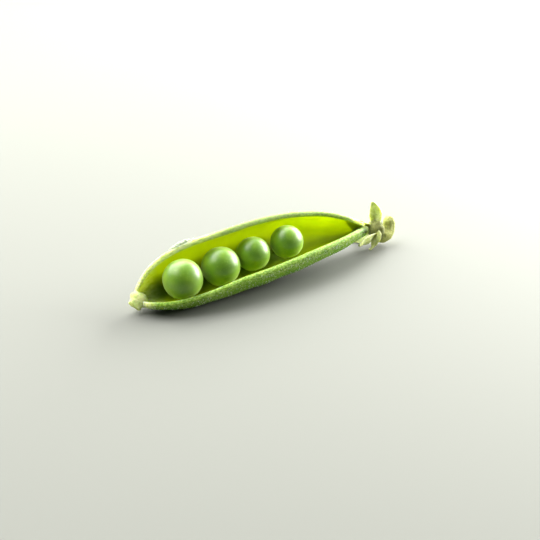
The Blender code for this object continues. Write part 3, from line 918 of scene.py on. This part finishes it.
def dew_material(name, clear, scatter, through_share):
    """Water: clear and scatter say how it takes light, through_share how much it lets through."""
    made, tree, shader, place = new_material(name)
    cloud = speckle(tree, place, 0.8, 0.3, 0.7)
    finish = {
        "Base Color": mixed(tree, cloud, linear("C0CEAC"), linear("DEE8D0")),
        "Roughness": 0.22,
        "IOR": 1.33,
        "Transmission Weight": clear,
        # painted glow in place of light passed between beads: strong on the heap, faint on the
        # scattering beads
        "Emission Color": linear("E8F2DC"),
        "Emission Strength": 0.14 * (1 - scatter),
        "Subsurface Weight": scatter,
        "Subsurface Radius": (1.0, 1.0, 0.9),
        "Subsurface Scale": 0.4 * MM,
    }
    fill(tree, shader, finish)
    passed = add(tree, "BsdfTranslucent", {"Color": linear("F0F6E6")}).outputs[0]
    both = add(tree, "MixShader", {0: through_share, 1: shader.outputs[0], 2: passed}).outputs[0]
    fill(tree, tree.nodes["Material Output"], {"Surface": both})
    return made


def outside_point(place, side, share):
    """A point on the outer face of one valve, in world metres."""
    _, outer = valve_sides(place, side)
    step = share * VALVE_STEPS
    i = min(int(step), VALVE_STEPS - 1)
    t = step - i
    across, height = (a * (1 - t) + b * t for a, b in zip(outer[i], outer[i + 1]))
    return in_world(along(place), across, height)


def between(low, high, share):
    return low + (high - low) * share


def scattered_beads(chance):
    """The middle and the radius of each bead, over the whole outside."""
    for _ in range(DEW_BEADS):
        side = chance.choice((1, 1, -1))
        place = chance.uniform(*DEW_PLACES)
        share = 1 - abs(chance.gauss(0, DEW_SPREAD))
        radius = between(*DEW_RADIUS, chance.random() ** 3)
        if share > DEW_LOWEST:
            yield outside_point(place, side, share), radius


def heaped_beads(chance):
    """A low heap of beads that hang together on the far valve's rim, near the tip."""
    for _ in range(HEAP_BEADS):
        t = (chance.random() + chance.random()) / 2
        share = 1 - HEAP_DEPTH * chance.random()
        lift = HEAP_LIFT * math.sin(math.pi * t) * chance.random()
        radius = between(*HEAP_RADIUS, chance.random())
        yield outside_point(between(*HEAP_PLACES, t), -1, share) + HEAP_WAY * lift * MM, radius


def make_dew(name, beads, finish):
    """One piece that holds a small ball for each bead."""
    bm = bmesh.new()
    bmesh.ops.create_icosphere(bm, subdivisions=2, radius=1.0)
    bead = bpy.data.meshes.new("bead")
    bm.to_mesh(bead)
    bm.clear()
    for middle, radius in beads:
        placed = bead.copy()
        placed.transform(Matrix.Translation(middle) @ Matrix.Scale(radius * MM, 4))
        bm.from_mesh(placed)
        bpy.data.meshes.remove(placed)
    piece(bm, name, finish)


dew_finish = dew_material("dew", clear=0.25, scatter=0.9, through_share=0.5)
heap_finish = dew_material("dew_crust", clear=0.0, scatter=0.0, through_share=0.35)
chance = random.Random(DEW_SEED)
make_dew("dew", scattered_beads(chance), dew_finish)
make_dew("dew_heap", heaped_beads(chance), heap_finish)

# %% [markdown]
# Floor and light. One wide soft lamp stands low behind the pod and makes the far valve glow. A
# lamp beside the stalk puts the white crescent on the right of each pea, one on the tip's side
# lights the beak and the left of the first pea, and one above gives the peas their soft crowns. A
# pale sky fills the shadows. A row of LAMPS holds the way to the lamp, its size, its power in watts
# and its colour.

# %% Floor, lamps and sky
FLOOR_SIZE, SKY_STRENGTH = 1.5, 0.13
LAMP_DISTANCE, LAMP_AIM = 0.50, Vector((0.02, 0.0, 0.006))
LAMPS = (
    ("back_lamp", (0.22, 0.82, 0.55), (1.0, 0.45), 5.2, (1.0, 0.98, 0.94)),
    ("stalk_lamp", (0.93, 0.11, 0.34), (0.66, 0.30), 12.0, (1.0, 1.0, 0.97)),
    ("tip_lamp", (-0.50, 0.62, 0.60), (0.60, 0.45), 2.6, (1.0, 1.0, 1.0)),
    ("top_lamp", (-0.20, 0.36, 0.91), (0.90, 0.26), 4.0, (1.0, 1.0, 1.0)),
)


def make_floor():
    bm = bmesh.new()
    bmesh.ops.create_grid(bm, x_segments=1, y_segments=1, size=FLOOR_SIZE)
    mesh = bpy.data.meshes.new("floor")
    bm.to_mesh(mesh)
    bm.free()
    made, tree, shader, _ = new_material("pale_floor")
    fill(tree, shader, {"Base Color": linear("74766F"), "Roughness": 0.8})
    mesh.materials.append(made)
    floor = bpy.data.objects.new("floor", mesh)
    bpy.context.scene.collection.objects.link(floor)


def add_lamp(name, towards, size, watts, colour):
    data = bpy.data.lights.new(name, "AREA")
    data.shape = "ELLIPSE"
    data.size, data.size_y = size
    data.energy = watts
    data.color = colour
    lamp = bpy.data.objects.new(name, data)
    way = Vector(towards).normalized()
    lamp.location = LAMP_AIM + way * LAMP_DISTANCE
    lamp.rotation_euler = way.to_track_quat("Z", "Y").to_euler()
    bpy.context.scene.collection.objects.link(lamp)


def make_sky():
    world = bpy.data.worlds.new("sky")
    world.use_nodes = True
    background = world.node_tree.nodes["Background"]
    background.inputs["Color"].default_value = linear("F2F5F4")
    background.inputs["Strength"].default_value = SKY_STRENGTH
    bpy.context.scene.world = world


make_floor()
make_sky()
for lamp in LAMPS:
    add_lamp(*lamp)
print("lamps:", [lamp[0] for lamp in LAMPS])

# %% [markdown]
# The camera looks along the photo's line of sight, from the front, a little left of the pod and
# above it. A long lens from 31 cm away keeps the near and the far end of the pod in proportion.

# %% Camera
CAMERA_AZIMUTH, CAMERA_ELEVATION, CAMERA_DISTANCE = -33.0, 27.0, 310.0
CAMERA_LENS, CAMERA_SHIFT = 77.5, (0.0274, -0.0452)
POD_MIDDLE_HEIGHT, NEAREST_SEEN = 6.0, 0.01


def make_camera():
    azimuth, elevation = math.radians(CAMERA_AZIMUTH), math.radians(CAMERA_ELEVATION)
    back = Vector(
        (
            math.sin(azimuth) * math.cos(elevation),
            -math.cos(azimuth) * math.cos(elevation),
            math.sin(elevation),
        )
    )
    pitch = Matrix.Rotation(math.radians(-PITCH_DEG), 4, "Y")
    seam = Matrix.Translation(Vector((0.0, REST_FORWARD, KEEL_LIFT)) * MM)
    aim = Vector((-REST_X, 0.0, POD_MIDDLE_HEIGHT))
    middle = Matrix.Translation((aim + back * CAMERA_DISTANCE) * MM)
    data = bpy.data.cameras.new("camera")
    data.lens = CAMERA_LENS
    data.shift_x, data.shift_y = CAMERA_SHIFT
    data.clip_start = NEAREST_SEEN
    camera = bpy.data.objects.new("camera", data)
    camera.matrix_world = seam @ pitch @ middle @ back.to_track_quat("Z", "Y").to_matrix().to_4x4()
    bpy.context.scene.collection.objects.link(camera)
    bpy.context.scene.camera = camera


make_camera()
print("camera", CAMERA_DISTANCE, "mm from the pod")
bpy.context.scene.view_settings.view_transform = "Standard"
